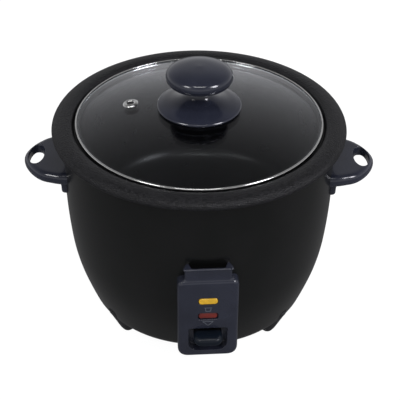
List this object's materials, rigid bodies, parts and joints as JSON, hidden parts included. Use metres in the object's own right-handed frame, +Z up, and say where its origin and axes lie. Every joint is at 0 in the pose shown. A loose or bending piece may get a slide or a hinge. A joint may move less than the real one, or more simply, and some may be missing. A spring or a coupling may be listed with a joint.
{
  "type": "rice cooker",
  "caption": "Round automatic rice cooker with a glass lid, lift-out pot, side handles and a front press-down cook lever.",
  "frame": {"origin": "on the floor under the middle of the object, on the pot's vertical axis", "axes": "+Z up along the pot's axis, +X through the right handle, -Y to the front where the control panel is"},
  "size_m": [0.2924, 0.259, 0.2295],
  "materials": {
    "shell_black": "satin black enamel",
    "rim_coating": "fine pebbled charcoal coating",
    "bowl_metal": "mill finish",
    "base_black": "matte black",
    "foot_plastic": "matte black",
    "screw_steel": "zinc plated",
    "navy_gloss": "glossy navy moulding",
    "tab_plastic": "glossy dark navy moulding",
    "amber_lens": "clear amber",
    "red_lens": "clear red",
    "board": "laminate",
    "lamp_glass": "small neon lamps",
    "cast_plate": "cast, turned top",
    "element_steel": "dull tube",
    "ferrite": "sintered",
    "spring_steel": "spring wire and magnet steel",
    "brass_pins": "plated brass",
    "terminal_plastic": "ceramic-white moulding",
    "pot_coating": "dark non-stick coating",
    "lid_glass": "clear tempered glass",
    "ring_steel": "polished stainless steel",
    "washer_rubber": "silicone"
  },
  "bodies": {
    "body": {"outer_shell": "shell_black", "top_rim": "rim_coating", "inner_bowl": "bowl_metal", "base_plate": "base_black", "foot_front_left": "foot_plastic", "foot_front_right": "foot_plastic", "foot_rear_left": "foot_plastic", "foot_rear_right": "foot_plastic", "foot_screws": "screw_steel", "base_screws": "screw_steel", "handle_left": "navy_gloss", "handle_right": "navy_gloss", "handle_screws": "screw_steel", "control_panel": "navy_gloss", "panel_screws": "screw_steel", "amber_lens": "amber_lens", "red_lens": "red_lens", "lamp_board": "board", "amber_lamp": "lamp_glass", "red_lamp": "lamp_glass", "heating_plate": "cast_plate", "heating_element": "element_steel", "plate_spacers": "screw_steel", "plate_screws": "screw_steel", "sensor_housing": "bowl_metal", "sensor_spring": "spring_steel", "release_spring": "spring_steel", "switch_frame": "bowl_metal", "pivot_pin": "screw_steel", "microswitch": "base_black", "power_inlet": "base_black", "inlet_pins": "brass_pins", "inlet_screws": "screw_steel", "terminal_block": "terminal_plastic", "terminal_screws": "screw_steel", "thermal_fuse": "terminal_plastic"},
    "pot": {"inner_pot": "pot_coating"},
    "lid": {"lid_glass": "lid_glass", "lid_ring": "ring_steel", "vent_grommet": "ring_steel", "knob_base": "navy_gloss", "knob_cap": "navy_gloss", "knob_screw": "screw_steel", "knob_washer": "washer_rubber"},
    "lever": {"lever_arm": "bowl_metal", "lever_tab": "tab_plastic"},
    "magnet": {"magnet": "spring_steel"},
    "sensor": {"sensor_cap": "cast_plate", "sensor_ferrite": "ferrite"}
  },
  "joints": [
    {"name": "pot_lift", "type": "slide", "parent": "body", "child": "pot", "axis": [0, 0, 1], "range_m": [0, 0.13]},
    {"name": "lid_lift", "type": "slide", "parent": "pot", "child": "lid", "axis": [0, 0, 1], "range_m": [0, 0.1]},
    {"name": "cook_lever", "type": "hinge", "parent": "body", "child": "lever", "pos_m": [0.00432, -0.06185, 0.05], "axis": [0.9976, 0.0698, 0], "range_deg": [0, 10], "stiffness_Nm_per_rad": 0.5, "springref_deg": -11.46},
    {"name": "magnet_lift", "type": "slide", "parent": "body", "child": "magnet", "axis": [0, 0, 1], "range_m": [0, 0.0108], "deforming": ["release_spring"]},
    {"name": "sensor_press", "type": "slide", "parent": "body", "child": "sensor", "axis": [0, 0, 1], "range_m": [-0.002, 0], "stiffness_N_per_m": 600, "springref_m": 0.003, "deforming": ["sensor_spring"]}
  ],
  "couplings": [
    {"joint": "cook_lever", "follows": "magnet_lift", "rad_per_m": 16.1}
  ]
}
